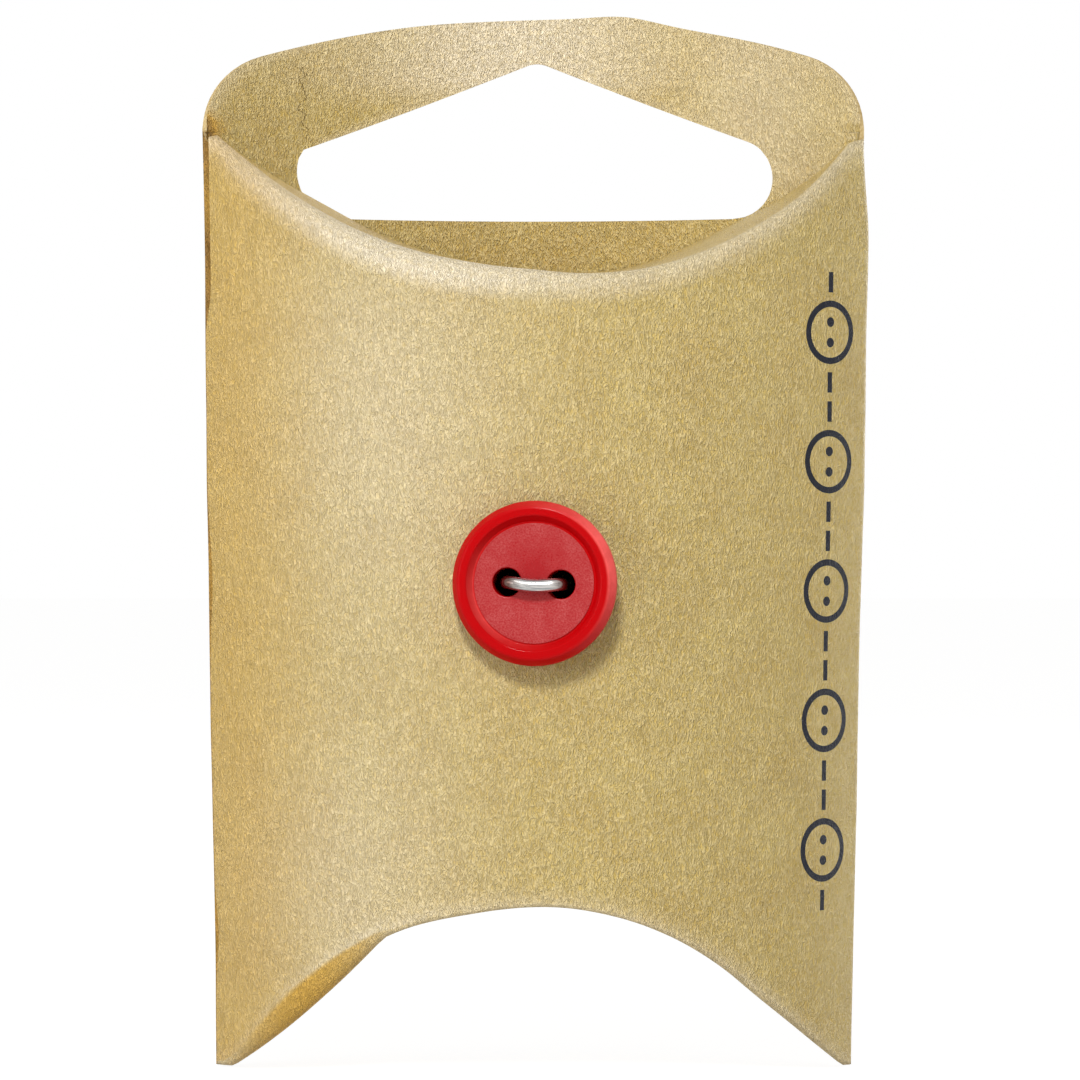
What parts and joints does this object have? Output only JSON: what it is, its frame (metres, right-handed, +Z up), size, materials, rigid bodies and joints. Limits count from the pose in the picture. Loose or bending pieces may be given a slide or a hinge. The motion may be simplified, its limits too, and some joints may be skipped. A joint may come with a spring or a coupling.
{
  "type": "pillow pack of buttons",
  "caption": "Hanging pillow pack of brown kraft card with curved creases, a hang tab with a delta hole, and a red sample button stapled to its front.",
  "frame": {"origin": "highest point of the hang hole, where a peg bears, in the middle of the card's thickness", "axes": "+Z up as it hangs, -Y out of the front panel, +X to the viewer's right from the front"},
  "size_m": [0.0626, 0.0331, 0.0989],
  "materials": {
    "kraft_card": "uncoated, fibrous",
    "red_plastic": "polished rim, satin middle",
    "steel_wire": "bright drawn wire"
  },
  "bodies": {
    "root": {"pillow_carton": "kraft_card", "sample_button": "red_plastic", "staple": "steel_wire"}
  },
  "joints": []
}
